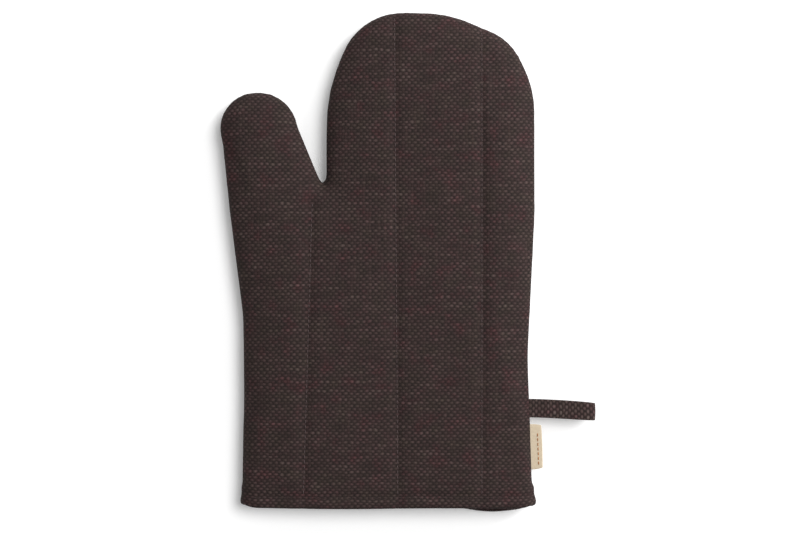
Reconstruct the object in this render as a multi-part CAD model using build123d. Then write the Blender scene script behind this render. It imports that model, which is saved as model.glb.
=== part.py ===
from build123d import *
import os
from math import atan2, cos, degrees, radians, sin, tan

# Cut of the mitt, lying flat. Heights run from the mouth up to the fingertips,
# widths from the middle of the mouth, with the thumb on the minus side.
CUFF_WIDTH = 178.6
PALM_LENGTH = 195.0  # mouth to the point of the notch beside the thumb
FINGER_REACH = 113.0  # notch to fingertips
THUMB_REACH = 62.7  # notch to thumb tip
FINGER_WIDTH = 128.0
FINGER_OVERHANG = 1.4  # finger edge outside the cuff edge
FINGER_SIDE_HEIGHT = 182.0  # where the finger edge starts to draw in towards the waist
WAIST_HEIGHT = 95.0
WAIST_INSET = 3.0
HEM_FLARE = 2.0  # the thick hem stands wider than the sides
HEM_FLARE_HEIGHT = 14.0
NOTCH_ROUND = 1.7

# Rounded end of the fingers: its corners in from the sides and down from the tip, and
# the share of the shorter neighbouring run that the rounding of each corner takes up.
INDEX_SHOULDER_DROP = 48.0
INDEX_TIP_INSET = 22.0
LITTLE_TIP_INSET = 54.0
LITTLE_KNEE_INSET = 15.0
LITTLE_KNEE_DROP = 16.7
LITTLE_SHOULDER_DROP = 45.5
INDEX_SHOULDER_SHARE = 0.38
INDEX_TIP_SHARE = 0.5
LITTLE_TIP_SHARE = 0.36
LITTLE_KNEE_SHARE = 0.42
LITTLE_SHOULDER_SHARE = 0.46

# Thumb: its outer side flares from the palm, its tip is cut round.
THUMB_FLARE_HEIGHT = 118.5
THUMB_SPREAD = 68.6  # notch to the outer corner of the thumb
THUMB_TIP_WIDTH = 41.0
THUMB_TIP_FLAT = 1.0  # short straight run between the two roundings of the tip
SIDE_ROUND = 120.0  # gentle bends of both sides

# Layers, from outside to inside, and the hollow for the hand.
SHELL_THICKNESS = 0.9
WADDING_THICKNESS = 5.0
LINING_THICKNESS = 0.6
HAND_GAP = 9.0
EDGE_SQUARE = 1.5  # upright stretch of each panel at the side seam

# Hem, quilting rows and seams.
HEM_DEPTH = 15.0
HEM_STITCH_HEIGHT = 8.0
QUILT_SPACING = 52.8
QUILT_SHIFT = 5.0  # middle row beside the middle of the mouth
THREAD_WIDTH = 0.8
THREAD_DEPTH = 0.5
SEAM_INSET = 2.2  # seam thread inside the finished edge
SEAM_THREAD = 0.5
LINING_SEAM_THREAD = 0.3

# Folds of the padded cloth, with their range to each side in degrees.
KNUCKLE_RISE = 31.0  # fold above the notch
KNUCKLE_BEND_ANGLE = 70.0
THUMB_ROOT_RISE = 21.0
THUMB_BEND_ANGLE = 60.0
FOLD_SLACK = 0.5  # half width of a fold at mid thickness

# Hanging loop of folded tape and the folded label, both caught in the side seam.
LOOP_HEIGHT = 62.8
LOOP_WIDTH = 11.6
LOOP_REACH = 41.0
TAPE_THICKNESS = 1.6
LOOP_EYE = 5.4
LOOP_EYE_START = 9.0
LABEL_HEIGHT = 38.8
LABEL_WIDTH = 28.0
LABEL_REACH = 8.0
LABEL_THICKNESS = 0.45
LABEL_SLIT = 0.12
TAIL_DEPTH = 5.0  # loop and label ends inside the seam
SWING_CLEARANCE = 0.3

shell_in = SHELL_THICKNESS
wadding_in = shell_in + WADDING_THICKNESS
lining_in = wadding_in + LINING_THICKNESS
hem_in = wadding_in + SHELL_THICKNESS
half_height = lining_in + HAND_GAP / 2
edge_round = half_height - EDGE_SQUARE
mitt_length = PALM_LENGTH + FINGER_REACH
mouth = -mitt_length / 2
beyond = 40.0
reach = mitt_length + CUFF_WIDTH


def at(across, height):
    return (across, mouth + height)


# Outline as corners with their roundings; the cuff runs on past the mouth and is cut there.
cuff_edge = CUFF_WIDTH / 2
finger_edge = cuff_edge + FINGER_OVERHANG
index_edge = finger_edge - FINGER_WIDTH
waist_edge = cuff_edge - WAIST_INSET
thumb_edge = index_edge - THUMB_SPREAD
thumb_flare = -cuff_edge - thumb_edge
thumb_tip = PALM_LENGTH + THUMB_REACH
hem_edge = cuff_edge + HEM_FLARE

# Both thumb roundings get the one radius that leaves the flat run between them.
thumb_inner_run = THUMB_SPREAD - THUMB_TIP_WIDTH
thumb_outer_lean = atan2(thumb_flare, thumb_tip - THUMB_FLARE_HEIGHT)
thumb_inner_lean = atan2(thumb_inner_run, THUMB_REACH)
outer_turn = radians(90) + thumb_outer_lean
inner_turn = radians(90) - thumb_inner_lean
thumb_round = (THUMB_TIP_WIDTH - THUMB_TIP_FLAT) / (tan(outer_turn / 2) + tan(inner_turn / 2))

def rounding(before, corner, after, share):
    """Radius that takes up a share of the shorter run beside a corner."""
    run_in = Vector(*corner) - Vector(*before)
    run_out = Vector(*after) - Vector(*corner)
    setback = share * min(run_in.length, run_out.length)
    return setback / tan(radians(run_in.get_angle(run_out)) / 2)


notch = at(index_edge, PALM_LENGTH)
index_shoulder = at(index_edge, mitt_length - INDEX_SHOULDER_DROP)
index_tip = at(index_edge + INDEX_TIP_INSET, mitt_length)
little_tip = at(finger_edge - LITTLE_TIP_INSET, mitt_length)
little_knee = at(finger_edge - LITTLE_KNEE_INSET, mitt_length - LITTLE_KNEE_DROP)
little_shoulder = at(finger_edge, mitt_length - LITTLE_SHOULDER_DROP)
finger_side = at(finger_edge, FINGER_SIDE_HEIGHT)
corners = [
    (at(-hem_edge, -beyond), 0),
    (at(-hem_edge, HEM_FLARE_HEIGHT / 2), HEM_FLARE_HEIGHT),
    (at(-cuff_edge, HEM_FLARE_HEIGHT), HEM_FLARE_HEIGHT),
    (at(-cuff_edge, THUMB_FLARE_HEIGHT), SIDE_ROUND),
    (at(thumb_edge, thumb_tip), thumb_round),
    (at(thumb_edge + THUMB_TIP_WIDTH, thumb_tip), thumb_round),
    (notch, NOTCH_ROUND),
    (index_shoulder, rounding(notch, index_shoulder, index_tip, INDEX_SHOULDER_SHARE)),
    (index_tip, rounding(index_shoulder, index_tip, little_tip, INDEX_TIP_SHARE)),
    (little_tip, rounding(index_tip, little_tip, little_knee, LITTLE_TIP_SHARE)),
    (little_knee, rounding(little_tip, little_knee, little_shoulder, LITTLE_KNEE_SHARE)),
    (little_shoulder, rounding(little_knee, little_shoulder, finger_side, LITTLE_SHOULDER_SHARE)),
    (finger_side, SIDE_ROUND),
    (at(waist_edge, WAIST_HEIGHT), SIDE_ROUND),
    (at(cuff_edge, HEM_FLARE_HEIGHT), HEM_FLARE_HEIGHT),
    (at(hem_edge, HEM_FLARE_HEIGHT / 2), HEM_FLARE_HEIGHT),
    (at(hem_edge, -beyond), 0),
]
outline = make_face(
    FilletPolyline(
        *[point for point, _ in corners],
        radius=[radius for _, radius in corners],
        close=True,
    )
)
mid = Plane.XY.offset(half_height)


def cut_in(inset):
    if inset == 0:
        return outline
    return offset(outline, amount=-inset, kind=Kind.INTERSECTION)


def slab(low, high, start=0.0):
    """Everything between two levels, from a height above the mouth upwards."""
    block = Box(2 * reach, reach, high - low, align=(Align.CENTER, Align.MIN, Align.MIN))
    return Pos(0, mouth + start, low) * block


def dome(inset):
    """Front half of the mitt's volume, shrunk by an inset, open towards the mouth."""
    block = extrude(mid * cut_in(inset), half_height - inset)
    return fillet(block.faces().sort_by(Axis.Z)[-1].edges(), edge_round - inset)


def back_of(front):
    return mirror(front, about=mid)


def band(outer, inner, low, high, start):
    """Upright ring between two insets, following the side seam."""
    ring = extrude(Plane.XY.offset(low) * (cut_in(outer) - cut_in(inner)), high - low)
    return ring & slab(low, high, start)


# Fold planes: x along the limb, y up, so that a profile extrudes along the crease.
thumb_lean = (thumb_outer_lean + thumb_inner_lean) / 2
thumb_root = PALM_LENGTH + THUMB_ROOT_RISE
root_left = -cuff_edge - thumb_flare * (thumb_root - THUMB_FLARE_HEIGHT) / (thumb_tip - THUMB_FLARE_HEIGHT)
root_right = index_edge - thumb_inner_run * THUMB_ROOT_RISE / THUMB_REACH
knuckle_height = PALM_LENGTH + KNUCKLE_RISE
notch_at_knuckle = index_edge - thumb_inner_run * KNUCKLE_RISE / THUMB_REACH / 2


def fold_plane(point, limb):
    return Plane((*point, half_height), x_dir=limb, z_dir=limb.cross(Vector(0, 0, 1)))


knuckle = fold_plane(at(notch_at_knuckle, knuckle_height), Vector(0, 1, 0))
thumb_limb = Vector(-sin(thumb_lean), cos(thumb_lean), 0)
thumb_fold = fold_plane(at((root_left + root_right) / 2, thumb_root), thumb_limb)
thumb_half_width = (root_right - root_left) / 2 / cos(thumb_lean)
thumb_notch = thumb_half_width + (index_edge - root_right) * 0.45


def fold_wedge(plane, bend, left, right):
    """Bow-tie prism of the cloth that bends, along one crease."""
    high = half_height + SHELL_THICKNESS
    wide = FOLD_SLACK + high * tan(radians(bend / 2))
    bow_tie = Polygon(
        (-FOLD_SLACK, 0), (-wide, -high), (wide, -high),
        (FOLD_SLACK, 0), (wide, high), (-wide, high), align=None,
    )
    return extrude(plane.offset(-left) * bow_tie, left + right)


def limb_side(plane, bend, left, right):
    """Everything beyond one fold."""
    high = half_height + SHELL_THICKNESS
    wide = FOLD_SLACK + high * tan(radians(bend / 2))
    side = Polygon(
        (FOLD_SLACK, 0), (wide, -high), (reach, -high), (reach, high), (wide, high), align=None,
    )
    return extrude(plane.offset(-left) * side, left + right)


knuckle_fold_zone = fold_wedge(knuckle, KNUCKLE_BEND_ANGLE, 0, reach)
finger_zone = limb_side(knuckle, KNUCKLE_BEND_ANGLE, 0, reach)
thumb_fold_zone = fold_wedge(thumb_fold, THUMB_BEND_ANGLE, beyond, thumb_notch)
thumb_zone = limb_side(thumb_fold, THUMB_BEND_ANGLE, beyond, thumb_notch)

# Full panels of the front, before they are divided at the folds.
domes = {inset: dome(inset) for inset in (0, shell_in, wadding_in, lining_in, hem_in)}
top = 2 * half_height
padding_space = domes[shell_in] - domes[wadding_in]
shell_wall = (domes[0] - domes[shell_in]) & slab(half_height, top)
hem_end = padding_space & (slab(half_height, top) - slab(half_height, top, SHELL_THICKNESS))
hem_lip = (domes[wadding_in] - domes[hem_in]) & (slab(half_height, top) - slab(half_height, top, HEM_DEPTH))
seam_allowance = padding_space & slab(half_height, half_height + SHELL_THICKNESS)
shell = shell_wall + hem_end + hem_lip + seam_allowance
wadding = padding_space & slab(half_height + SHELL_THICKNESS, top, SHELL_THICKNESS)
lining = (domes[wadding_in] - domes[lining_in]) & slab(half_height, top, HEM_DEPTH)

# Threads lie in the cloth's surface, trimmed where the panel turns down to the seam.
flat_part = extrude(Plane.XY.offset(top - THREAD_DEPTH) * cut_in(edge_round + THREAD_WIDTH), THREAD_DEPTH)
quilt_start = HEM_STITCH_HEIGHT + 2 * THREAD_WIDTH
quilting = Part()
for row, row_end in ((-1, PALM_LENGTH - edge_round / 2), (0, mitt_length), (1, mitt_length)):
    length = row_end - quilt_start
    middle = at(QUILT_SHIFT + row * QUILT_SPACING, quilt_start + length / 2)
    stitch_row = Pos(*middle, top) * Box(THREAD_WIDTH, length, 2 * THREAD_DEPTH)
    quilting += stitch_row & flat_part
hem_row = Pos(*at(0, HEM_STITCH_HEIGHT), top) * Box(reach, THREAD_WIDTH, 2 * THREAD_DEPTH)
hem_stitching = hem_row & flat_part
shell = shell - quilting - hem_stitching

# Side frame for loop and label: x out of the seam, y up along it. The label follows
# the slope of the seam, the loop hangs straight out.
side_turn = degrees(atan2(WAIST_INSET, WAIST_HEIGHT - HEM_FLARE_HEIGHT))


def side_frame(height, turn):
    drawn_in = WAIST_INSET * (height - HEM_FLARE_HEIGHT) / (WAIST_HEIGHT - HEM_FLARE_HEIGHT)
    return Pos(*at(cuff_edge - drawn_in, height), half_height) * Rot(0, 0, turn)


def tail(height, turn, width, thickness):
    """Ends of a folded tape, from the finished edge into the seam allowance."""
    block = side_frame(height, turn) * Box(2 * (shell_in + TAIL_DEPTH), width, thickness)
    volume = domes[0] + back_of(domes[0])
    return block & volume


def folded_profile(root, end_radius, length):
    """Side view of a tape folded on itself: a small rolled root and a rounder end."""
    start = Pos(SWING_CLEARANCE + root, 0) * Circle(root)
    end = Pos(length - end_radius, 0) * Circle(end_radius)
    return make_hull(start.edges() + end.edges())


side_view = Plane.XZ


def run_along_seam(profile, height, turn, width):
    return side_frame(height, turn) * extrude(side_view * profile, width / 2, both=True)


eye_radius = LOOP_EYE / 2
loop_end = eye_radius + TAPE_THICKNESS
eye = make_hull(
    (Pos(LOOP_EYE_START, 0) * Circle(TAPE_THICKNESS / 4)).edges()
    + (Pos(LOOP_REACH - loop_end, 0) * Circle(eye_radius)).edges()
)
loop_profile = folded_profile(TAPE_THICKNESS, loop_end, LOOP_REACH) - eye
hanging_loop = run_along_seam(loop_profile, LOOP_HEIGHT, 0, LOOP_WIDTH)
loop_ends = tail(LOOP_HEIGHT, 0, LOOP_WIDTH, 2 * TAPE_THICKNESS)

leaf = LABEL_THICKNESS
slit_from = SWING_CLEARANCE + 3 * leaf
slit_length = LABEL_REACH - 2 * leaf - slit_from
label_slit = Pos(slit_from + slit_length / 2, 0) * Rectangle(slit_length, LABEL_SLIT)
label_profile = folded_profile(leaf, leaf, LABEL_REACH) - label_slit
side_label = run_along_seam(label_profile, LABEL_HEIGHT, side_turn, LABEL_WIDTH)
label_ends = tail(LABEL_HEIGHT, side_turn, LABEL_WIDTH, 2 * leaf)

# Seam threads run all round from cuff corner to cuff corner, through both panels.
seam_thread = band(
    SEAM_INSET, SEAM_INSET + SEAM_THREAD,
    half_height - SHELL_THICKNESS, half_height + SHELL_THICKNESS, SHELL_THICKNESS,
)
lining_seam_in = wadding_in + (LINING_THICKNESS - LINING_SEAM_THREAD) / 2
lining_seam_thread = band(
    lining_seam_in, lining_seam_in + LINING_SEAM_THREAD,
    half_height - SHELL_THICKNESS, half_height + SHELL_THICKNESS, HEM_DEPTH,
)

os.makedirs("parts", exist_ok=True)


def save(shape, node):
    export_step(shape, f"parts/{node}.step")


def palm_of(panel):
    return panel - finger_zone - knuckle_fold_zone - thumb_zone - thumb_fold_zone


for layer, panel in (("shell", shell), ("wadding", wadding), ("lining", lining)):
    palm = palm_of(panel)
    fingers = panel & finger_zone
    thumb = panel & thumb_zone
    save(palm - loop_ends - label_ends, f"front_{layer}")
    save(back_of(palm) - loop_ends - label_ends, f"back_{layer}")
    save(fingers, f"front_{layer}_fingers")
    save(back_of(fingers), f"back_{layer}_fingers")
    save(thumb, f"front_{layer}_thumb")
    save(back_of(thumb), f"back_{layer}_thumb")
    knuckle_strip = panel & knuckle_fold_zone
    thumb_strip = panel & thumb_fold_zone
    save(Compound([*knuckle_strip.solids(), *back_of(knuckle_strip).solids()]), f"{layer}_knuckle_fold")
    save(Compound([*thumb_strip.solids(), *back_of(thumb_strip).solids()]), f"{layer}_thumb_fold")

palm_quilting = palm_of(quilting)
finger_quilting = quilting & finger_zone
fold_quilting = quilting & knuckle_fold_zone
save(palm_quilting, "front_quilting")
save(back_of(palm_quilting), "back_quilting")
save(finger_quilting, "front_quilting_fingers")
save(back_of(finger_quilting), "back_quilting_fingers")
save(Compound([*fold_quilting.solids(), *back_of(fold_quilting).solids()]), "quilting_knuckle_fold")
save(hem_stitching, "front_hem_stitching")
save(back_of(hem_stitching), "back_hem_stitching")

for name, thread in (("seam_thread", seam_thread), ("lining_seam_thread", lining_seam_thread)):
    save(palm_of(thread), name)
    save(thread & finger_zone, f"{name}_fingers")
    save(thread & thumb_zone, f"{name}_thumb")

save(hanging_loop, "hanging_loop")
save(loop_ends, "loop_ends")
save(side_label, "side_label")
save(label_ends, "label_ends")
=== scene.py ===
import bpy
import bmesh
import numpy as np
from math import acos, ceil, cos, pi, radians, sin, sqrt
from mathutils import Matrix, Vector, noise
from mathutils.bvhtree import BVHTree


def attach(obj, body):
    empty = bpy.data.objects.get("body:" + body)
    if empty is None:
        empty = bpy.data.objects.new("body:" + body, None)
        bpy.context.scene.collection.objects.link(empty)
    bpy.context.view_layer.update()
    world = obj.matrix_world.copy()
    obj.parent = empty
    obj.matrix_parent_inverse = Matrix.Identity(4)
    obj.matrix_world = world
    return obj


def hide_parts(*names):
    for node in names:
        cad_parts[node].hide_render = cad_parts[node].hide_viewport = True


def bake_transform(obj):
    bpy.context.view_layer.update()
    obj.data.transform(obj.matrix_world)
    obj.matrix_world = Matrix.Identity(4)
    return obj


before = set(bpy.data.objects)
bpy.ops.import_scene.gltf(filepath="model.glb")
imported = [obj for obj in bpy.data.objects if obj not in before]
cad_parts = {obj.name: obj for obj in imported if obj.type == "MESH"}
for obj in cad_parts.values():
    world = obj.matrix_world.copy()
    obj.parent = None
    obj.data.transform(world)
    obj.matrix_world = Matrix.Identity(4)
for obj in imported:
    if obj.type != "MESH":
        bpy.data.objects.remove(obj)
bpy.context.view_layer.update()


# Table and studio: a white table seen from straight above, one large soft lamp high up on
# the right with a low panel beside it, and an even white room. The table is diffuse, so it
# keeps the mitt's shadow.
mm = 0.001
# Half the mitt's height, where its side seam lies.
middle = 11.0
photo_pixel = 0.62 * mm
picture_wide = 800
# The camera stands over this point, in the photo's pixels from the mitt's origin.
camera_over = (12, -5.5)
lens, sensor = 100, 36
paper_lift = 0.20
scene = bpy.context.scene
scene.view_settings.view_transform = "Standard"


def srgb(code):
    """Linear colour of an sRGB hex value."""
    parts = [int(code[i : i + 2], 16) / 255 for i in (1, 3, 5)]
    return [p / 12.92 if p <= 0.04045 else ((p + 0.055) / 1.055) ** 2.4 for p in parts] + [1.0]


def add(tree, kind, settings=None, **links):
    """One node; a link's value is another node, an output socket or a constant."""
    node = tree.nodes.new(kind)
    for name, value in (settings or {}).items():
        if name == "stops":
            for k, (place, code) in enumerate(value):
                stop = node.color_ramp.elements[k] if k < 2 else node.color_ramp.elements.new(place)
                stop.position, stop.color = place, srgb(code)
        else:
            setattr(node, name, value)
    for key, value in links.items():
        if key[1:].isdigit():
            socket = node.inputs[int(key[1:])]
        else:
            name = key.replace("_", " ")
            socket = next(s for s in node.inputs if s.name == name and s.enabled)
        if isinstance(value, bpy.types.Node):
            value = next(s for s in value.outputs if s.enabled)
        if isinstance(value, bpy.types.NodeSocket):
            tree.links.new(value, socket)
        else:
            socket.default_value = value
    return node


def new_material(name):
    """Empty node material and its tree."""
    material = bpy.data.materials.new(name)
    material.use_nodes = True
    material.node_tree.nodes.clear()
    return material, material.node_tree


camera_data = bpy.data.cameras.new("camera")
camera_data.sensor_width = sensor
camera_data.lens = lens
camera = bpy.data.objects.new("camera", camera_data)
# From this height one pixel covers its real size at half the mitt's height.
camera_height = middle * mm + picture_wide * photo_pixel * lens / sensor
camera.location = (camera_over[0] * photo_pixel, camera_over[1] * photo_pixel, camera_height)
scene.collection.objects.link(camera)
scene.camera = camera

bpy.ops.object.select_all(action="DESELECT")
bpy.ops.mesh.primitive_plane_add(size=6)
table = bpy.context.object
table.name = "table"
# Matt white paint: no gloss, only soft shadow; rays that see it get a little extra white.
white_table, tree = new_material("white matt table")
matt = add(tree, "ShaderNodeBsdfDiffuse", Color=srgb("#F4F4F4"))
seen = add(tree, "ShaderNodeLightPath")
either = {"operation": "MAXIMUM"}
camera_ray, glossy_ray = seen.outputs["Is Camera Ray"], seen.outputs["Is Glossy Ray"]
seen_or_glossy = add(tree, "ShaderNodeMath", either, i0=camera_ray, i1=glossy_ray)
seen_at_all = add(tree, "ShaderNodeMath", either, i0=seen_or_glossy, i1=seen.outputs["Is Transmission Ray"])
lift = add(tree, "ShaderNodeMath", {"operation": "MULTIPLY"}, i0=seen_at_all, i1=paper_lift)
paper = add(tree, "ShaderNodeEmission", Color=(1, 1, 1, 1), Strength=lift)
both = add(tree, "ShaderNodeAddShader", i0=matt, i1=paper)
add(tree, "ShaderNodeOutputMaterial", Surface=both)
table.data.materials.append(white_table)

room = bpy.data.worlds.new("white room")
scene.world = room
room.use_nodes = True
room_light = room.node_tree.nodes["Background"]
room_light.inputs["Color"].default_value = (1, 1, 1, 1)
room_light.inputs["Strength"].default_value = 0.30
window_data = bpy.data.lights.new("window", "SUN")
window_data.energy = 2.2
window_data.angle = radians(32)
panel_data = bpy.data.lights.new("low panel", "AREA")
panel_data.energy = 6.5
panel_data.size = 0.5
for lamp_data, place in ((window_data, (0.44, 0.27, 1.0)), (panel_data, (0.69, 0.46, 0.42))):
    lamp = bpy.data.objects.new(lamp_data.name, lamp_data)
    lamp.location = place
    lamp.rotation_euler = (-Vector(place)).to_track_quat("-Z", "Y").to_euler()
    scene.collection.objects.link(lamp)


# Outer cloth: a front and a back panel cut to one outline, sewn right sides together and
# turned, then stuffed with wadding. The mouth edge is turned inwards as a hem. The form is
# a closed bag of the cut outline, blown up as cloth and held at its seam and its rows.
mouth = -154.0
cover_half, cover_round, cover_thick = 10.2, 9.0, 0.85
# Corners of the cut: across, up from the mouth, and the run that the rounding takes up.
cut_corners = [
    (-91.3, -16, 0), (-91.3, 7, 2), (-90.5, 14, 2), (-90.4, 26, 3), (-89.5, 68, 6), (-89.8, 118.5, 7.1),
    (-98.4, 185, 8), (-105.7, 257.7, 24.2), (-64.3, 257.7, 15.9), (-38.4, 195, 8.1), (-38.4, 260, 20),
    (-16.6, 308, 26), (36.7, 308, 15.3), (75.7, 291.1, 13.6), (91.1, 261.2, 15.2), (91.1, 182, 3),
    (86.8, 95, 5.2), (89.5, 14, 2), (91.3, 7, 2), (91.3, -16, 0),
]
arc_step = radians(9)
# Farther off than any seam or row can be felt.
far_off = 99.0


def cut_outline():
    """Points of the cut, with an arc at each rounded corner."""
    spots = np.array([(x, mouth + y) for x, y, _ in cut_corners])
    points = []
    for i, (_, _, run) in enumerate(cut_corners):
        corner, before, after = spots[i], spots[i - 1], spots[(i + 1) % len(spots)]
        if run == 0:
            points.append(corner)
            continue
        back = (before - corner) / np.linalg.norm(before - corner)
        on = (after - corner) / np.linalg.norm(after - corner)
        half = acos(np.clip(back @ on, -1, 1)) / 2
        centre = corner + (back + on) / np.linalg.norm(back + on) * run / cos(half)
        first, last = corner + back * run - centre, corner + on * run - centre
        turn = pi - 2 * half
        steps = max(2, ceil(turn / arc_step))
        for k in range(steps + 1):
            share = k / steps
            points.append(centre + (sin((1 - share) * turn) * first + sin(share * turn) * last) / sin(turn))
    return np.array(points)


def points_of(piece):
    """Vertex places in millimetres."""
    flat = np.empty(len(piece.data.vertices) * 3)
    piece.data.vertices.foreach_get("co", flat)
    return flat.reshape(-1, 3) / mm


def set_points(piece, points):
    """Moves the vertices to places in millimetres."""
    piece.data.vertices.foreach_set("co", (points * mm).ravel())
    piece.data.update()


def normals_of(piece):
    """Vertex normals."""
    flat = np.empty(len(piece.data.vertices) * 3)
    piece.data.vertices.foreach_get("normal", flat)
    return flat.reshape(-1, 3)


def crown(points):
    """Share of the full height that the stuffing has: it thins out towards the side seam."""
    thinning, reach, curve = 0.36, 36, 1.2
    outline = cut_outline()
    near = np.full(len(points), far_off)
    for a, b in zip(outline[:-1], outline[1:]):
        run = b - a
        share = np.clip(((points[:, :2] - a) @ run) / max(run @ run, 1e-9), 0, 1)
        near = np.minimum(near, np.linalg.norm(points[:, :2] - a - share[:, None] * run, axis=1))
    return 1 - thinning * np.clip(1 - near / reach, 0, 1) ** curve


def pick(piece):
    """Selects one piece alone."""
    bpy.ops.object.select_all(action="DESELECT")
    piece.select_set(True)
    bpy.context.view_layer.objects.active = piece


def mesh_piece(name, points, faces):
    """New piece from points in metres, the only one selected."""
    mesh = bpy.data.meshes.new(name)
    mesh.from_pydata([tuple(p) for p in points], [], faces)
    piece = bpy.data.objects.new(name, mesh)
    scene.collection.objects.link(piece)
    pick(piece)
    return piece


def copy_of(source, name):
    """Copy of a piece with a mesh of its own."""
    piece = source.copy()
    piece.data = source.data.copy()
    piece.name = piece.data.name = name
    scene.collection.objects.link(piece)
    return piece


def bag(name, inset, half_height, rounding, square):
    """Closed bag of the cut, taken in all round, as an even net of small squares."""
    outline = cut_outline()
    floor = (middle - half_height) * mm
    piece = mesh_piece(name, [(x * mm, y * mm, floor) for x, y in outline], [range(len(outline))])
    bpy.ops.object.mode_set(mode="EDIT")
    bpy.ops.mesh.select_all(action="SELECT")
    if inset:
        bpy.ops.mesh.inset(thickness=inset * mm, use_even_offset=True)
        bpy.ops.mesh.select_all(action="INVERT")
        bpy.ops.mesh.delete(type="VERT")
        bpy.ops.mesh.select_all(action="SELECT")
    bpy.ops.mesh.extrude_region_move(TRANSFORM_OT_translate={"value": (0, 0, 2 * half_height * mm)})
    bpy.ops.mesh.select_all(action="SELECT")
    bpy.ops.mesh.normals_make_consistent(inside=False)
    bpy.ops.object.mode_set(mode="OBJECT")
    # The edges of the top and the bottom are level; they are rounded.
    mesh = piece.data
    for edge in mesh.edges:
        low_end, high_end = (mesh.vertices[v].co.z for v in edge.vertices)
        edge.select = abs(high_end - low_end) < 1e-6
    bpy.ops.object.mode_set(mode="EDIT")
    bpy.ops.mesh.select_mode(type="EDGE")
    bpy.ops.mesh.bevel(offset=rounding * mm, segments=5, profile=0.5, clamp_overlap=False)
    bpy.ops.mesh.select_mode(type="VERT")
    bpy.ops.object.mode_set(mode="OBJECT")
    remesh = piece.modifiers.new("net", "REMESH")
    remesh.mode = "VOXEL"
    remesh.voxel_size = square * mm
    bpy.ops.object.modifier_apply(modifier=remesh.name)
    places = points_of(piece)
    places[:, 2] = middle + (places[:, 2] - middle) * crown(places)
    set_points(piece, places)
    return piece


# Quilting rows: across at half the mitt's length, slant, and the end.
rows = [(-47.8, 0.03, mouth + 190), (5.0, -0.007, mouth + 305), (57.8, 0.0, mouth + 298)]
hem_row = mouth + 8.0


def row_distance(points):
    """Distance of each point from the nearest quilting row, large past the rows' ends."""
    near = np.full(len(points), far_off)
    for across, slant, end in rows:
        beyond = np.maximum(0, points[:, 1] - end)
        near = np.minimum(near, np.hypot(points[:, 0] - across - slant * points[:, 1], beyond))
    return near


# The net's rows lie half a square off its zero, so this size puts one row on the seam.
square = middle / 6.5
cover = bag("cover", 0.0, cover_half, cover_round, square)
start = points_of(cover)
face_from, seam_held, stitch_held = 8, 2.2, 1.6
stuffing_frames, sideways_kept, puff_cap = 20, 0.3, 2.3
on_face = np.abs(start[:, 2] - middle) > face_from * crown(start)
at_seam = np.abs(start[:, 2] - middle) < seam_held
at_stitches = (row_distance(start) < stitch_held) | (np.abs(start[:, 1] - hem_row) < stitch_held)
held = np.flatnonzero(at_seam | (on_face & at_stitches))
sewn = cover.vertex_groups.new(name="sewn")
sewn.add([int(i) for i in held], 1.0, "REPLACE")
cloth = cover.modifiers.new("stuffing", "CLOTH")
cloth.settings.quality = 5
cloth.settings.use_pressure = True
cloth.settings.uniform_pressure_force = 4
cloth.settings.vertex_group_mass = "sewn"
cloth.settings.effector_weights.gravity = 0
for step in range(1, stuffing_frames + 1):
    scene.frame_set(step)
pick(cover)
bpy.ops.object.modifier_apply(modifier=cloth.name)
scene.frame_set(1)
moved = (points_of(cover) - start) * (sideways_kept, sideways_kept, 1)
far = np.linalg.norm(moved, axis=1, keepdims=True)
set_points(cover, start + moved * np.minimum(1, puff_cap / np.maximum(far, 1e-9)))

# Depth and width of the lines where stitches pull the cloth in.
broad_valley, row_line = (0.6, 3.4), (0.35, 1.5)
hem_crease, seam_groove = (0.7, 2.0), (0.7, 1.1)


def dent(line, distance):
    """How far the cloth is pulled in at each distance from a line of stitches."""
    depth, width = line
    return depth * np.exp(-((distance / width) ** 2))


# Rows pull the cloth and its wadding down into valleys. The cage keeps this broad form.
shaped = points_of(cover)
normal = normals_of(cover)
upright = np.abs(normal[:, 2])
shaped -= normal * (dent(broad_valley, row_distance(shaped)) * upright)[:, None]
shaped[:, 2] = np.maximum(shaped[:, 2], 0.0)
set_points(cover, shaped)
cage = copy_of(cover, "cage")

# Where each point lies on the flat cut: cloth that rolls over at the sides runs on outwards.
full = cover_half * crown(shaped)
rolled = np.arccos(np.clip(np.abs(shaped[:, 2] - middle) / full, 0, 1))
quarter = pi / 2 * np.sqrt((cover_round**2 + full**2) / 2)
spare = (quarter - cover_round) * (rolled - np.sin(rolled)) / (pi / 2 - 1)
outward = normals_of(cage)[:, :2]
outward = outward / np.maximum(np.linalg.norm(outward, axis=1, keepdims=True), 1e-6)
laid_out = np.c_[shaped[:, :2] + outward * spare[:, None], 0 * spare]
flat_cut = cover.data.attributes.new("flat cut", "FLOAT_VECTOR", "POINT")
flat_cut.data.foreach_set("vector", laid_out.ravel())

# The thread then cuts a fine line into the cloth, the hem row a crease, and the side seam
# draws the edge in to a groove. The front has low, uneven bumps of wadding.
bumps_per_mm, bump_start, bump_high = (0.035, 0.03, 0.02), (0, 0, 7), 0.5
valley = dent(row_line, row_distance(shaped))
crease = dent(hem_crease, shaped[:, 1] - hem_row)
groove = dent(seam_groove, shaped[:, 2] - middle) * (1 - upright)
bumps = np.array([noise.noise(Vector(spot)) for spot in shaped * bumps_per_mm + bump_start])
front_only = np.where(shaped[:, 2] > middle, 1.0, 0.0)
depth = (np.maximum(valley, crease) - bump_high * bumps * front_only) * upright + groove
shaped -= normal * depth[:, None]
shaped[:, 2] = np.maximum(shaped[:, 2], 0.0)
set_points(cover, shaped)

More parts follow.
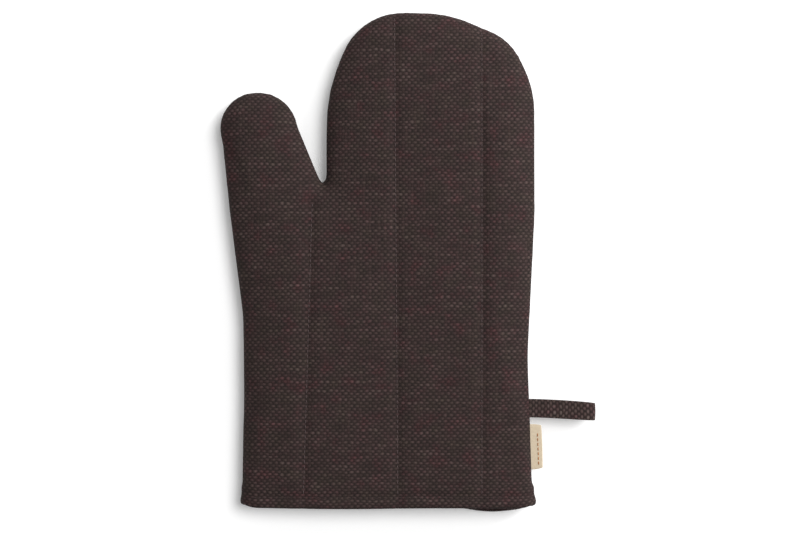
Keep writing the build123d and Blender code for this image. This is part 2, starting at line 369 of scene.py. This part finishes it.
# The thumb leans out along a line through its centre. Its panels are divided below that, at the
# cut, and only left of the notch and well above the cuff.
thumb_lean = radians(15.28)
thumb_centre = np.array([-73.735, 62.0])
thumb_limb = np.array([-sin(thumb_lean), cos(thumb_lean)])
thumb_cut = -20.0
thumb_from = 20.0
notch_line = -39.8


def half_of(source, name, front, open_at, square):
    """Front or back half of a bag, open at the row of its net nearest to open_at."""
    piece = copy_of(source, name)
    row = (np.round(open_at / square - 0.5) + 0.5) * square
    snap = 0.4 * square
    net = bmesh.new()
    net.from_mesh(piece.data)
    centres = [(f, f.calc_center_median()) for f in net.faces]
    other = [f for f, c in centres if c.y < row * mm or (c.z > middle * mm) != front]
    bmesh.ops.delete(net, geom=other, context="FACES")
    for v in {v for e in net.edges if e.is_boundary for v in e.verts}:
        if abs(v.co.z / mm - middle) < snap:
            v.co.z = middle * mm
        if abs(v.co.y / mm - row) < snap:
            v.co.y = row * mm
    net.to_mesh(piece.data)
    net.free()
    return piece


def lay_cloth(piece, place):
    """Stores the flat cut's places, in metres, as the piece's own map for its weave."""
    layer = piece.data.uv_layers.new(name="cut")
    corner = np.empty(len(piece.data.loops), dtype=int)
    piece.data.loops.foreach_get("vertex_index", corner)
    layer.data.foreach_set("uv", (place[corner] * mm).ravel())


def uneven_mouth(piece, dip):
    """Raises the mouth edge, more so at its corners; dip is how far it hangs out on the right."""
    reach, raised, wave_high, wave_long = 14, 1.5, 0.3, 17
    corner_high, corner_from, corner_wide = 1.9, 80, 10
    dip_at, dip_wide = 65, 20
    places = points_of(piece)
    x, share = places[:, 0], np.exp(-np.maximum(places[:, 1] - mouth, 0) / reach)
    corners = corner_high * np.clip((np.abs(x) - corner_from) / corner_wide, 0, 1) ** 2
    hanging = dip * np.exp(-(((x - dip_at) / dip_wide) ** 2))
    places[:, 1] += share * (raised + wave_high * np.sin(x / wave_long) + corners - hanging)
    set_points(piece, places)


def turn_hem(piece, profile):
    """Turns the mouth edge inwards along a profile of (inwards, up) steps, on to the lining."""
    edge_across, lining_across, lining_high = [0, 82.3, 91.3], [0, 80.2, 83.6], 4.85
    points = points_of(piece)
    place = np.empty(len(points) * 3)
    piece.data.attributes["flat cut"].data.foreach_get("vector", place)
    place, thin = place.reshape(-1, 3)[:, :2], crown(points)
    net = bmesh.new()
    net.from_mesh(piece.data)
    rim = [e for e in net.edges if e.is_boundary and all(v.co.y < hem_row * mm for v in e.verts)]
    rim = [e for e in rim if any(abs(v.co.z - middle * mm) > 1e-6 for v in e.verts)]
    inwards, base, laid = {}, {}, dict(enumerate(place))
    for v in {v for e in rim for v in e.verts}:
        x, _, z = v.co / mm
        end_x = np.copysign(np.interp(abs(x), edge_across, lining_across), x)
        level = np.clip((z - middle) / (cover_half * thin[v.index]), -1, 1)
        end_z = middle + lining_high * thin[v.index] * level
        inwards[v] = Vector((end_x - x, 0, end_z - z)) / profile[-1][0]
        base[v] = (v.co.copy(), v.index)
    run, last = 0.0, (0.0, 0.0)
    for step in profile:
        run += sqrt((step[0] - last[0]) ** 2 + (step[1] - last[1]) ** 2)
        last = step
        grown = bmesh.ops.extrude_edge_only(net, edges=rim)["geom"]
        fresh = [g for g in grown if isinstance(g, bmesh.types.BMVert)]
        edges = [g for g in grown if isinstance(g, bmesh.types.BMEdge)]
        rim = [e for e in edges if all(v in fresh for v in e.verts)]
        net.verts.index_update()
        before = set(inwards)
        for v in fresh:
            old = next(e.other_vert(v) for e in v.link_edges if e.other_vert(v) in before)
            inwards[v], base[v] = inwards[old], base[old]
            v.co = base[v][0] + inwards[v] * step[0] * mm
            v.co.y += step[1] * mm
            laid[v.index] = place[base[v][1]] - np.array([0, run])
    net.to_mesh(piece.data)
    net.free()
    return np.array([laid[i] for i in range(len(piece.data.vertices))])


def part_off_thumb(piece, name):
    """Divides a panel above the notch's foot and returns the thumb as a piece of its own."""
    cut = np.append(thumb_centre + thumb_cut * thumb_limb, 0) * mm
    across = Vector((*thumb_limb, 0))
    net = bmesh.new()
    net.from_mesh(piece.data)
    near = [f for f in net.faces if min(v.co.x for v in f.verts) < notch_line * mm]
    near = [f for f in near if f.calc_center_median().y > thumb_from * mm]
    geometry = list({g for f in near for g in (f, *f.edges, *f.verts)})
    bmesh.ops.bisect_plane(net, geom=geometry, plane_co=cut, plane_no=(*thumb_limb, 0), dist=1e-7)

    def beyond(face):
        centre = face.calc_center_median()
        return centre.x < notch_line * mm and (centre - Vector(cut)).dot(across) > 0

    thumb = copy_of(piece, name)
    for target, keep in ((piece, False), (thumb, True)):
        share = net.copy()
        bmesh.ops.delete(share, geom=[f for f in share.faces if beyond(f) != keep], context="FACES")
        share.to_mesh(target.data)
        share.free()
    net.free()
    return thumb


def thicken(piece, thickness, shares=""):
    """Gives a panel its thickness, inwards from its face; shares names a group of its weights."""
    wall = piece.modifiers.new("thickness", "SOLIDIFY")
    wall.vertex_group = shares
    wall.thickness = thickness * mm
    wall.offset = -1
    pick(piece)
    bpy.ops.object.modifier_apply(modifier=wall.name)
    bpy.ops.object.shade_smooth_by_angle(angle=radians(55))


def bend_at_knuckle(piece):
    """Bakes the piece's placement into its mesh."""
    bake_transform(piece)


def bend_at_thumb(piece):
    """Bakes the piece's placement into its mesh."""
    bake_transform(piece)


def bend_layer(panel, thumb, side, layer):
    """Bakes a layer's two pieces and hides the nodes they stand for, at the front the folds too."""
    front = side == "front"
    bend_at_knuckle(panel)
    bend_at_thumb(thumb)
    knuckle_fold = [f"{layer}_knuckle_fold"] if front else []
    thumb_fold = [f"{layer}_thumb_fold"] if front else []
    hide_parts(f"{side}_{layer}", f"{side}_{layer}_fingers", *knuckle_fold)
    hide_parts(f"{side}_{layer}_thumb", *thumb_fold)


# Melange cloth: coarse basket weave of dark brown warp and paler, uneven weft. The weft
# shows as small cross-wise flecks in a diamond grid, with burgundy and grey-green slubs.
def melange(name, turned, weft_colours):
    """The cloth's material; turned is for pieces cut with the weft upright."""
    material, tree = new_material(name)
    thread = 1.86 * mm
    wander_size, slub_long, patch_size, fibre_size = 6.2 * mm, 16.909 * mm, 11.625 * mm, 0.80870 * mm
    # Each line of thread takes its slubs from another place of the noise, warp and weft too.
    line_apart, warp_apart = 0.71, 4.0
    # How far threads wander, in threads, how flat a weft float's top is, and what fibres add.
    wander_far, weft_flat = 0.9, 0.7
    fibre_dark, fibre_high = 0.35, 0.3
    maths = "ShaderNodeMath"
    laid = add(tree, "ShaderNodeUVMap", {"uv_map": "cut"})
    quarter_turn = (0, 0, pi / 2 if turned else 0)
    per_thread = (1 / thread, 1 / thread, 1)
    counted = add(tree, "ShaderNodeMapping", Vector=laid, Rotation=quarter_turn, Scale=per_thread)
    wander = add(tree, "ShaderNodeTexNoise", Vector=counted, Scale=thread / wander_size, Detail=1.0)
    moved = {"operation": "MULTIPLY_ADD"}
    shift, far = wander.outputs["Color"], (wander_far, wander_far, 0)
    uneven = add(tree, "ShaderNodeVectorMath", moved, i0=shift, i1=far, i2=counted)
    split = add(tree, "ShaderNodeSeparateXYZ", Vector=uneven)
    along, up = split.outputs[0], split.outputs[1]
    weft_line = add(tree, maths, {"operation": "FLOOR"}, i0=up)
    warp_line = add(tree, maths, {"operation": "FLOOR"}, i0=along)
    # Weft floats: bars across, each row moved on by one thread; warp floats stand between them.
    moved_on = add(tree, maths, {"operation": "ADD"}, i0=along, i1=weft_line)
    turned_on = add(tree, maths, {"operation": "MULTIPLY"}, i0=moved_on, i1=pi)
    weft_swing = add(tree, maths, {"operation": "SINE"}, i0=turned_on)
    weft_over = add(tree, maths, {"operation": "MULTIPLY_ADD"}, i0=weft_swing, i1=0.5, i2=0.5)
    weft_turn = add(tree, maths, {"operation": "MULTIPLY"}, i0=up, i1=pi)
    weft_wave = add(tree, maths, {"operation": "SINE"}, i0=weft_turn)
    weft_round = add(tree, maths, {"operation": "ABSOLUTE"}, i0=weft_wave)
    weft_side = add(tree, maths, {"operation": "POWER"}, i0=weft_round, i1=weft_flat)
    weft = add(tree, maths, {"operation": "MULTIPLY"}, i0=weft_over, i1=weft_side)
    moved_up = add(tree, maths, {"operation": "ADD"}, i0=up, i1=warp_line)
    turned_up = add(tree, maths, {"operation": "MULTIPLY"}, i0=moved_up, i1=pi)
    warp_swing = add(tree, maths, {"operation": "SINE"}, i0=turned_up)
    warp_over = add(tree, maths, {"operation": "MULTIPLY_ADD"}, i0=warp_swing, i1=-0.5, i2=0.5)
    warp_turn = add(tree, maths, {"operation": "MULTIPLY"}, i0=along, i1=pi)
    warp_wave = add(tree, maths, {"operation": "SINE"}, i0=warp_turn)
    warp_round = add(tree, maths, {"operation": "ABSOLUTE"}, i0=warp_wave)
    warp = add(tree, maths, {"operation": "MULTIPLY"}, i0=warp_over, i1=warp_round)
    # Slubs: one noise drawn out along each weft thread, one along each warp thread.
    slow_along = add(tree, maths, {"operation": "MULTIPLY"}, i0=along, i1=thread / slub_long)
    jump_up = add(tree, maths, {"operation": "MULTIPLY"}, i0=weft_line, i1=line_apart)
    weft_run = add(tree, "ShaderNodeCombineXYZ", X=slow_along, Y=jump_up)
    weft_slub = add(tree, "ShaderNodeTexNoise", Vector=weft_run, Scale=1.0, Detail=2.0)
    slow_up = add(tree, maths, {"operation": "MULTIPLY"}, i0=up, i1=thread / slub_long)
    jump_along = add(tree, maths, {"operation": "MULTIPLY"}, i0=warp_line, i1=line_apart)
    warp_run = add(tree, "ShaderNodeCombineXYZ", X=jump_along, Y=slow_up, Z=warp_apart)
    warp_slub = add(tree, "ShaderNodeTexNoise", Vector=warp_run, Scale=1.0, Detail=2.0)
    weft_stops = list(zip((0.28, 0.50, 0.62, 0.78), weft_colours))
    weft_dyed = add(tree, "ShaderNodeValToRGB", {"stops": weft_stops}, Fac=weft_slub)
    warp_stops = [(0.28, "#251A19"), (0.52, "#352523"), (0.72, "#4A3634")]
    warp_dyed = add(tree, "ShaderNodeValToRGB", {"stops": warp_stops}, Fac=warp_slub)
    # Dye: soft burgundy and grey-green patches a few threads wide.
    patch_scale = thread / patch_size
    patch = add(tree, "ShaderNodeTexNoise", Vector=counted, Scale=patch_scale, Detail=3.0, Roughness=0.6)
    dye_stops = [(0.34, "#778070"), (0.47, "#7F807A"), (0.55, "#837C7B"), (0.68, "#946D73")]
    dye = add(tree, "ShaderNodeValToRGB", {"stops": dye_stops}, Fac=patch)
    fibre = add(tree, "ShaderNodeTexNoise", Vector=counted, Scale=thread / fibre_size, Detail=3.0)
    shaded = {"data_type": "RGBA"}
    tinted = {"data_type": "RGBA", "blend_type": "OVERLAY"}
    ground = add(tree, "ShaderNodeMix", shaded, Factor=warp, A=srgb("#221817"), B=warp_dyed)
    woven = add(tree, "ShaderNodeMix", shaded, Factor=weft, A=ground, B=weft_dyed)
    dyed = add(tree, "ShaderNodeMix", tinted, Factor=0.8, A=woven, B=dye)
    fuzz = add(tree, maths, {"operation": "MULTIPLY"}, i0=fibre, i1=fibre_dark)
    worn = add(tree, "ShaderNodeMix", shaded, Factor=fuzz, A=dyed, B=srgb("#241B1A"))
    tall = add(tree, maths, {"operation": "MAXIMUM"}, i0=weft, i1=warp)
    rough = add(tree, maths, {"operation": "MULTIPLY_ADD"}, i0=fibre, i1=fibre_high, i2=tall)
    relief = add(tree, "ShaderNodeBump", Strength=0.5, Distance=0.3 * mm, Height=rough)
    surface = add(
        tree, "ShaderNodeBsdfPrincipled", Base_Color=worn, Roughness=0.85, Normal=relief,
        Specular_IOR_Level=0.25, Sheen_Weight=0.08, Sheen_Roughness=0.4, Sheen_Tint=srgb("#CDBFBB"),
    )
    add(tree, "ShaderNodeOutputMaterial", Surface=surface)
    return material


cloth_weft = ("#4A3837", "#5E4A49", "#6C5655", "#806D6A")
melange_cloth = melange("melange basket weave cotton", False, cloth_weft)
# The hem's section, from the mouth edge: inwards and up.
hem_profile = [
    (0.1, -1.2), (0.5, -1.9), (1.3, -2.4), (2.4, -2.55), (3.7, -2.5), (5.0, -2.1),
    (5.8, -1.4), (6.1, -0.2), (6.15, 4), (6.15, 8), (6.15, 12.2),
]
cover_opening = mouth + 2.5
mouth_dip = {"front": -0.5, "back": 3.8}
for side in ("front", "back"):
    panel = half_of(cover, f"{side}_cover", side == "front", cover_opening, square)
    uneven_mouth(panel, mouth_dip[side])
    lay_cloth(panel, turn_hem(panel, hem_profile))
    panel.data.materials.append(melange_cloth)
    thumb = part_off_thumb(panel, f"{side}_thumb_cover")
    for piece in (panel, thumb):
        thicken(piece, cover_thick)
    bend_layer(panel, thumb, side, "shell")
bpy.data.objects.remove(cover)


# Wadding: a lofty polyester pad behind each outer panel, cut like it and sewn in with the
# rows. It follows the outer cloth's form, a little pressed in.
pad_opening = mouth + 4.5
pad_under, pad_thick, pad_least, pad_side = 1.6, 5.0, 0.6, 1.8
lining_room = 5.7
# How level a pad's face is, from 0 to 1: up to the first value it is as thin as at its sides,
# from the second it fills the room down to the lining.
steep, level_from = 0.5, 0.9
tuft = 2.381 * mm
# Polyester fleece: matt, off-white and tufted, with a soft bright edge.
wadding_fleece, tree = new_material("white polyester wadding")
spot = add(tree, "ShaderNodeTexCoord")
tufts = spot.outputs["Object"]
fluff = add(tree, "ShaderNodeTexNoise", Vector=tufts, Scale=1 / tuft, Detail=6.0, Roughness=0.7)
shade = add(tree, "ShaderNodeValToRGB", {"stops": [(0, "#CFCBC2"), (1, "#F0EEE8")]}, Fac=fluff)
loft = add(tree, "ShaderNodeBump", Strength=0.8, Distance=1.0 * mm, Height=fluff)
surface = add(
    tree, "ShaderNodeBsdfPrincipled", Base_Color=shade, Roughness=0.95, Normal=loft, Sheen_Weight=0.3
)
add(tree, "ShaderNodeOutputMaterial", Surface=surface)
for side in ("front", "back"):
    pad = half_of(cage, f"{side}_wadding_pad", side == "front", pad_opening, square)
    set_points(pad, points_of(pad) - pad_under * normals_of(pad))
    pad.data.materials.append(wadding_fleece)
    thumb = part_off_thumb(pad, f"{side}_thumb_wadding_pad")
    for piece in (pad, thumb):
        # Pressed thin at the rows and full between them, down to the lining.
        spots, level = points_of(piece), np.abs(normals_of(piece)[:, 2])
        room = np.abs(spots[:, 2] - middle) - lining_room * crown(spots)
        fullness = np.clip((level - steep) / (level_from - steep), 0, 1)
        loft_at = np.clip(pad_side + (room - pad_side) * fullness, pad_least, pad_thick)
        lofted = piece.vertex_groups.new(name="loft")
        for i, share in enumerate(loft_at / pad_thick):
            lofted.add([i], share, "REPLACE")
        thicken(piece, pad_thick, "loft")
    bend_layer(pad, thumb, side, "wadding")
bpy.data.objects.remove(cage)


# Lining: an inner bag of plain dark cotton, sewn along the same outline, that starts at the
# end of the turned hem and lines the whole hand pocket.
lining_inset, lining_half, lining_round, lining_thick = 5.65, 5.35, 3.4, 0.55
lining_opening = mouth + 14
lining_square = middle / 3.5
# Plain cotton: matt and dark, a fine even grid with soft blotches. Its threads are drawn
# coarser than usual lining cotton has them, so that they show.
lining_thread = 0.7 * mm
blotch = 2.3333 * mm
lining_cotton, tree = new_material("plain weave dark cotton")
spot = add(tree, "ShaderNodeTexCoord")
grown = {"operation": "SCALE"}
counted = add(tree, "ShaderNodeVectorMath", grown, i0=spot.outputs["Object"], Scale=1 / lining_thread)
split = add(tree, "ShaderNodeSeparateXYZ", Vector=counted)
waves = []
for way in (0, 1):
    turned = add(tree, "ShaderNodeMath", {"operation": "MULTIPLY"}, i0=split.outputs[way], i1=pi)
    waves.append(add(tree, "ShaderNodeMath", {"operation": "SINE"}, i0=turned))
plain = add(tree, "ShaderNodeMath", {"operation": "MULTIPLY"}, i0=waves[0], i1=waves[1])
uneven = add(tree, "ShaderNodeTexNoise", Vector=counted, Scale=lining_thread / blotch, Detail=4.0)
shade = add(tree, "ShaderNodeValToRGB", {"stops": [(0, "#302827"), (1, "#4A3F3D")]}, Fac=uneven)
raised = add(tree, "ShaderNodeBump", Strength=0.5, Distance=0.15 * mm, Height=plain)
surface = add(
    tree, "ShaderNodeBsdfPrincipled", Base_Color=shade, Roughness=0.9, Normal=raised, Sheen_Weight=0.15
)
add(tree, "ShaderNodeOutputMaterial", Surface=surface)
inner = bag("inner", lining_inset, lining_half, lining_round, lining_square)
for side in ("front", "back"):
    bag_half = half_of(inner, f"{side}_lining_panel", side == "front", lining_opening, lining_square)
    bag_half.data.materials.append(lining_cotton)
    thumb = part_off_thumb(bag_half, f"{side}_thumb_lining_panel")
    for piece in (bag_half, thumb):
        thicken(piece, lining_thick)
    bend_layer(bag_half, thumb, side, "lining")
bpy.data.objects.remove(inner)


# Seam thread: spun polyester that sews the panels together along their outline. It lies
# hidden between the layers. At the palm it ends inside the turned hem.
twist = 1.1111 * mm


# Spun polyester: matt, without shine, mottled from dark to pale along its twist.
def spun_thread(name, dark, pale):
    """Thread material, mottled along its twist."""
    material, tree = new_material(name)
    spot = add(tree, "ShaderNodeTexCoord")
    mottle = add(tree, "ShaderNodeTexNoise", Vector=spot.outputs["Object"], Scale=1 / twist, Detail=2.0)
    shade = add(tree, "ShaderNodeValToRGB", {"stops": [(0, dark), (1, pale)]}, Fac=mottle)
    surface = add(
        tree, "ShaderNodeBsdfPrincipled", Base_Color=shade, Roughness=0.8, Specular_IOR_Level=0.25
    )
    add(tree, "ShaderNodeOutputMaterial", Surface=surface)
    return material


seam_spun = spun_thread("dark spun polyester seam thread", "#2A2120", "#3D312F")
for name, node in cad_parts.items():
    if "seam_thread" in name:
        node.data.materials.clear()
        node.data.materials.append(seam_spun)
thread = copy_of(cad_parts["seam_thread"], "outer_seam_thread")
net = bmesh.new()
net.from_mesh(thread.data)
net.transform(thread.matrix_world)
everything = [*net.verts, *net.edges, *net.faces]
thread_end = (0, hem_row * mm, 0)
bmesh.ops.bisect_plane(net, geom=everything, plane_co=thread_end, plane_no=(0, -1, 0), clear_outer=True)
bmesh.ops.holes_fill(net, edges=[e for e in net.edges if e.is_boundary])
net.to_mesh(thread.data)
net.free()
thread.parent = None
thread.matrix_world.identity()
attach(thread, "palm")
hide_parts("seam_thread")


# Quilting rows: lockstitches through all layers, three straight rows on each side. Each
# stitch is a short bow of thread that dips into the cloth at both ends.
stitch_long, stitch_pitch, thread_thick = 2.3, 3.1, 0.55
above_hem = 2
quilting_spun = spun_thread("brown spun polyester quilting thread", "#3F3434", "#5A4D4D")


def one_stitch():
    """Points and faces of one stitch along +Y, lying on z = 0."""
    # Rings of the bow: share along it, height, and share of the thread's thickness.
    rings = [
        (-0.5, -0.30, 0.25), (-0.40, 0.02, 0.8), (-0.15, 0.16, 1.0),
        (0.15, 0.16, 1.0), (0.40, 0.02, 0.8), (0.5, -0.30, 0.25),
    ]
    spots, faces, sides = [], [], 6
    for along, lift, full in rings:
        radius = thread_thick / 2 * full
        for k in range(sides):
            turn = 2 * pi * k / sides
            spots.append((radius * cos(turn), along * stitch_long, lift + radius * sin(turn)))
    for r in range(len(rings) - 1):
        for k in range(sides):
            a, b = r * sides + k, r * sides + (k + 1) % sides
            faces.append((a, a + sides, b + sides, b))
    faces.append(tuple(range(sides)))
    faces.append(tuple(range(len(spots) - 1, len(spots) - sides - 1, -1)))
    return np.array(spots), faces


def sew(name, spots, thread):
    """One piece of many stitches; each spot has its place, its direction and its up."""
    shape, faces = one_stitch()
    places, polygons = [], []
    for place, along, up in spots:
        along = (along - up * along.dot(up)).normalized()
        side = along.cross(up)
        turned = np.array([side, along, up])
        polygons += [tuple(i + len(places) for i in face) for face in faces]
        places += [tuple(p) for p in (shape * mm) @ turned + np.array(place)]
    piece = mesh_piece(name, places, polygons)
    bpy.ops.object.mode_set(mode="EDIT")
    bpy.ops.mesh.select_all(action="SELECT")
    bpy.ops.mesh.normals_make_consistent(inside=False)
    bpy.ops.object.mode_set(mode="OBJECT")
    bpy.ops.object.shade_smooth()
    piece.data.materials.append(thread)
    return piece


def on_cloth(panel, line, front):
    """Stitch spots where a straight line of points meets the panel's face."""
    clear_of_cloth = 0.06
    net = BVHTree.FromObject(panel, bpy.context.evaluated_depsgraph_get())
    down = Vector((0, 0, -1 if front else 1))
    spots = []
    for a, b in zip(line[:-1], line[1:]):
        centre = (Vector((*a, 0)) + Vector((*b, 0))) / 2 * mm
        centre.z = clear_of_cloth if front else -clear_of_cloth
        hit, up, _, _ = net.ray_cast(centre, down)
        if hit is not None:
            spots.append((hit, Vector((b[0] - a[0], b[1] - a[1], 0)).normalized(), up))
    return spots


for side in ("front", "back"):
    panel = bpy.data.objects[f"{side}_cover"]
    spots = []
    for across, slant, end in rows:
        ups = np.arange(hem_row + above_hem, end, stitch_pitch)
        spots += on_cloth(panel, [(across + slant * up, up) for up in ups], side == "front")
    stitches = sew(f"{side}_quilting_stitches", spots, quilting_spun)
    bend_at_knuckle(stitches)
    knuckle_fold = ["quilting_knuckle_fold"] if side == "front" else []
    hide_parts(f"{side}_quilting", f"{side}_quilting_fingers", *knuckle_fold)


# Hem topstitching: one row of lockstitches across each side of the cuff, in the seam's
# thread. It holds the turned hem down.
hem_half = 84
for side in ("front", "back"):
    line = [(x, hem_row) for x in np.arange(-hem_half, hem_half + 0.1, stitch_pitch)]
    spots = on_cloth(bpy.data.objects[f"{side}_cover"], line, side == "front")
    stitches = sew(f"{side}_hem_stitches", spots, seam_spun)
    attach(stitches, "palm")
    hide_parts(f"{side}_hem_stitching")


# Hanging loop: a flat tape of the same cloth, cut the other way, folded over a peg's width
# with both ends caught in the side seam.
seam_edge, loop_up = 87.5, -91.2
loop_wide, tape_thick, loop_out = 11.4, 1.45, 40.2
loop_weft = ("#5A4644", "#735D5B", "#836E6C", "#9A8784")


def folded_tape(name, inside, out, gap, wide, thick, centre, turn, droop, sides):
    """Tape that comes out of the seam, folds over and goes back in; gap is the eye's half height."""
    legs, bend, closed = 16, 10, 2
    narrowing, bow = 0.06, 0.25
    path = []
    reach = out - gap - thick / 2
    for k in range(legs + 1):
        along = -inside + (reach + inside) * k / legs
        spread = np.clip((along - closed) / (reach - closed), 0, 1)
        path.append((along, thick / 2 + gap * spread * spread * (3 - 2 * spread)))
    for k in range(1, bend):
        turned = pi * k / bend
        path.append((reach + (gap + thick / 2) * sin(turned), (gap + thick / 2) * cos(turned)))
    path += [(along, -height) for along, height in path[legs::-1]]
    path = np.array(path)
    run = np.concatenate([[0], np.cumsum(np.linalg.norm(np.diff(path, axis=0), axis=1))])
    across = np.linspace(-0.5, 0.5, sides + 1)
    points, place = [], []
    for (along, height), length in zip(path, run):
        share = np.clip(along / out, 0, 1)
        taper = 1 - narrowing * share**3
        for a in across:
            y = a * wide * taper - droop * share**1.5
            x = along + bow * cos(a * pi) * share
            point_x = centre[0] + x * cos(turn) - y * sin(turn)
            point_y = centre[1] + x * sin(turn) + y * cos(turn)
            points.append((point_x, point_y, middle + height))
            place.append((length, a * wide))
    count = sides + 1
    faces = []
    for r in range(len(path) - 1):
        for k in range(sides):
            a, b = r * count + k, (r + 1) * count + k
            faces.append((a, a + 1, b + 1, b))
    piece = mesh_piece(name, np.array(points) * mm, faces)
    lay_cloth(piece, np.array(place))
    wall = piece.modifiers.new("thickness", "SOLIDIFY")
    wall.thickness = thick * mm
    wall.offset = 0
    soft = piece.modifiers.new("soft edges", "BEVEL")
    soft.width = 0.3 * thick * mm
    soft.segments = 3
    soft.angle_limit = radians(60)
    bpy.ops.object.modifier_apply(modifier=wall.name)
    bpy.ops.object.modifier_apply(modifier=soft.name)
    bpy.ops.object.shade_smooth_by_angle(angle=radians(50))
    return piece


def hinge_at_seam(piece):
    """Bakes the tape's placement into its mesh."""
    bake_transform(piece)


loop = folded_tape(
    "hanging_loop_tape", inside=5.0, out=loop_out, gap=2.7, wide=loop_wide, thick=tape_thick,
    centre=(seam_edge, loop_up), turn=0.0, droop=2.2, sides=8,
)
loop.data.materials.append(melange("melange basket weave cotton turned", True, loop_weft))
hinge_at_seam(loop)
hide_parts("hanging_loop", "loop_ends")


# Side label: a narrow cream tape folded in two, its ends in the same seam under the loop.
# It is plain, with one running stitch of russet thread along it.
label_edge, label_up, label_turn = 88.38, -115.2, radians(2.12)
label_wide, label_thick, label_out = 28.0, 0.4, 6.9
running_in, running_half, running_pitch = 4.6, 11.5, 2.9
# Woven tape: smooth, with fine ribs across and a faintly uneven cream. The ribs are drawn
# a little coarse, so that they show.
label_rib = 0.5 * mm
cream_blotch = 1.42857 * mm
label_tape, tree = new_material("cream woven label tape")
laid = add(tree, "ShaderNodeUVMap", {"uv_map": "cut"})
counted = add(tree, "ShaderNodeVectorMath", {"operation": "SCALE"}, i0=laid, Scale=1 / label_rib)
split = add(tree, "ShaderNodeSeparateXYZ", Vector=counted)
turned = add(tree, "ShaderNodeMath", {"operation": "MULTIPLY"}, i0=split.outputs[0], i1=2 * pi)
rib = add(tree, "ShaderNodeMath", {"operation": "SINE"}, i0=turned)
uneven = add(tree, "ShaderNodeTexNoise", Vector=counted, Scale=label_rib / cream_blotch, Detail=3.0)
shade = add(tree, "ShaderNodeValToRGB", {"stops": [(0, "#B9A78E"), (1, "#D0C1A7")]}, Fac=uneven)
raised = add(tree, "ShaderNodeBump", Strength=0.4, Distance=0.1 * mm, Height=rib)
surface = add(
    tree, "ShaderNodeBsdfPrincipled", Base_Color=shade, Roughness=0.6, Normal=raised, Sheen_Weight=0.1
)
add(tree, "ShaderNodeOutputMaterial", Surface=surface)
label = folded_tape(
    "side_label_tape", inside=4.5, out=label_out, gap=0.12, wide=label_wide, thick=label_thick,
    centre=(label_edge, label_up), turn=label_turn, droop=0.0, sides=10,
)
label.data.materials.append(label_tape)
russet_spun = spun_thread("russet embroidery thread", "#8A4E22", "#B8763E")
label_steps = np.arange(-running_half, running_half + 0.1, running_pitch)
label_line = [(label_edge + running_in - sin(label_turn) * k, label_up + k) for k in label_steps]
running = sew("label_running_stitch", on_cloth(label, label_line, True), russet_spun)
for piece in (label, running):
    hinge_at_seam(piece)
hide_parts("side_label", "label_ends")
